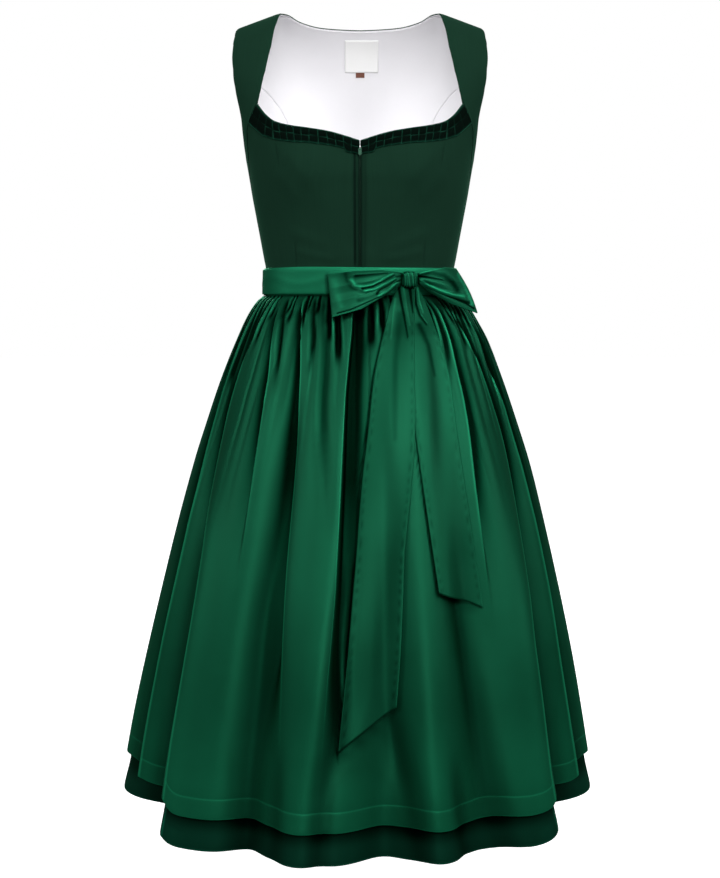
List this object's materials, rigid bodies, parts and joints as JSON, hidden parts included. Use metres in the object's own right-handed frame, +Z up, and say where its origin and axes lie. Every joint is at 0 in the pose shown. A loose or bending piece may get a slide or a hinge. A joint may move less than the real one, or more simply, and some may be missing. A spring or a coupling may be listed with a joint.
{
  "type": "dirndl dress",
  "caption": "Knee-length folk dress with a fitted sleeveless bodice, pleated neckline trim, gathered skirt and a satin apron tied in a bow at the front left, in its worn hollow form.",
  "frame": {"origin": "midway between the undersides of the two shoulder straps, where the wearer's shoulders hold the dress", "axes": "+Z up along the dress, from hem to shoulders; +X towards the wearer's left side; -Y out of the front"},
  "size_m": [0.667, 0.6003, 1.0903],
  "materials": {
    "bodice_twill": "matte",
    "skirt_satin": "satin",
    "apron_satin": "satin",
    "velvet_trim": "velvet",
    "lining_cotton": "matte",
    "label_satin": "satin",
    "size_tab": "matte",
    "zip_tape": "matte",
    "zip_enamel": "gloss"
  },
  "bodies": {
    "dress": {"front_left": "bodice_twill", "front_right": "bodice_twill", "strap_left": "bodice_twill", "strap_right": "bodice_twill", "back_center": "bodice_twill", "back_side_left": "bodice_twill", "back_side_right": "bodice_twill", "lining_back_center": "lining_cotton", "lining_back_side_left": "lining_cotton", "lining_back_side_right": "lining_cotton", "label_patch": "label_satin", "size_tab": "size_tab", "trim_left": "velvet_trim", "trim_right": "velvet_trim", "zip_tape": "zip_tape", "zip_slider": "zip_enamel", "skirt_front": "skirt_satin", "skirt_back_left": "skirt_satin", "skirt_back_right": "skirt_satin", "apron": "apron_satin", "apron_waistband": "apron_satin", "tie_left": "apron_satin", "tie_right": "apron_satin", "bow_loop_left": "apron_satin", "bow_loop_right": "apron_satin", "bow_knot": "apron_satin", "tail_long": "apron_satin", "tail_short": "apron_satin"},
    "pull": {"zip_pull": "zip_enamel"}
  },
  "joints": [
    {"name": "pull_hinge", "type": "hinge", "parent": "dress", "child": "pull", "pos_m": [0, -0.11178, -0.19525], "axis": [-1, 0, 0], "range_deg": [0, 150]}
  ]
}
